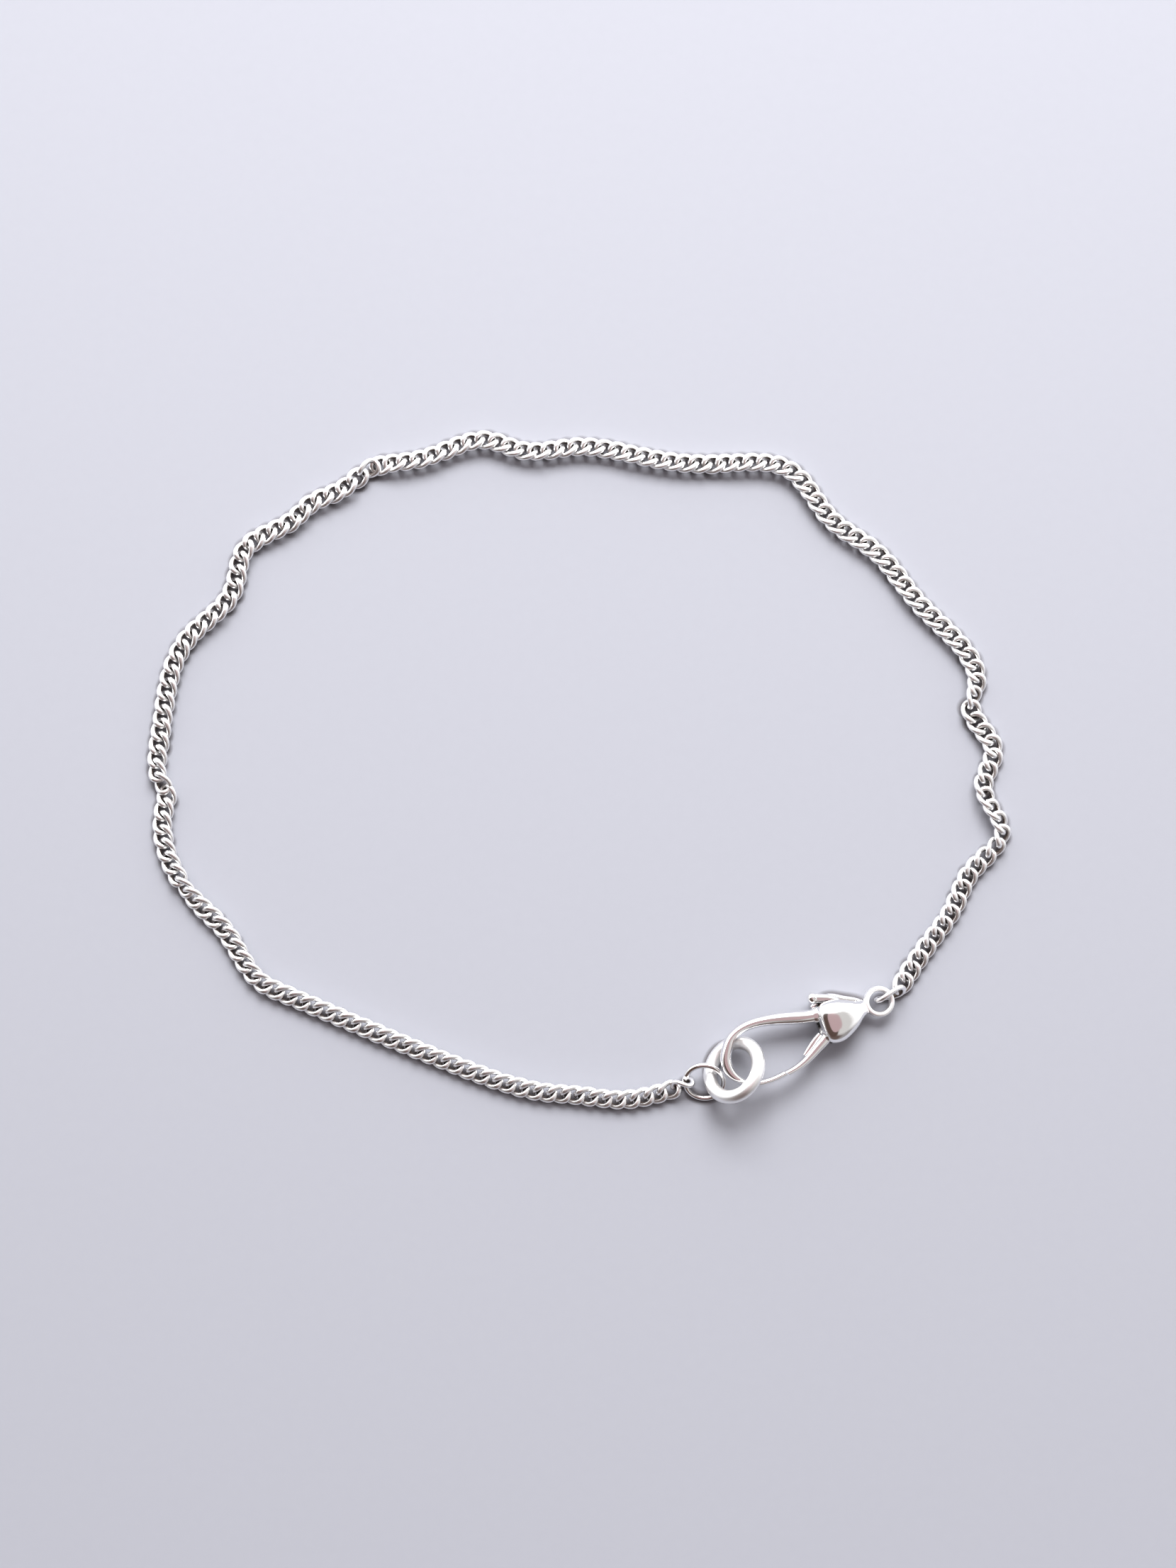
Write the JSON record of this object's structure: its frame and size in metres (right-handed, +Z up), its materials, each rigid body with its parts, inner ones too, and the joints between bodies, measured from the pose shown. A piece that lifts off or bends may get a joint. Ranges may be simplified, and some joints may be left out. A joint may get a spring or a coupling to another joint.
{
  "type": "chain anklet",
  "caption": "Fine curb-chain anklet lying closed in one loop, its lobster clasp with a sprung lever hooked through a thick catch ring.",
  "frame": {"origin": "middle of the closed anklet's footprint, on the surface that it lies on", "axes": "+X along the loop's longer way, with the clasp towards +X and -Y; +Y across the loop, away from the clasp; +Z up from the surface"},
  "size_m": [0.0893, 0.0708, 0.0054],
  "materials": {
    "chain_silver": "polished sterling silver, faintly tarnished between the links",
    "clasp_silver": "polished cast silver with fine handling scratches",
    "pin_silver": "plain drawn wire, hidden in the clasp",
    "ring_silver": "polished drawn silver wire"
  },
  "bodies": {
    "anklet": {"chain": "chain_silver", "ring_link": "chain_silver", "end_link": "chain_silver", "clasp_body": "clasp_silver", "clasp_pin": "pin_silver", "catch_ring": "ring_silver", "jump_ring": "ring_silver"},
    "lever": {"clasp_lever": "clasp_silver"}
  },
  "joints": [
    {"name": "lever_hinge", "type": "hinge", "parent": "anklet", "child": "lever", "pos_m": [0.02702, -0.0256, 0.00166], "axis": [-0.0913, -0.0291, -0.9954], "range_deg": [0, 18], "stiffness_Nm_per_rad": 0.005, "springref_deg": -17.19}
  ]
}
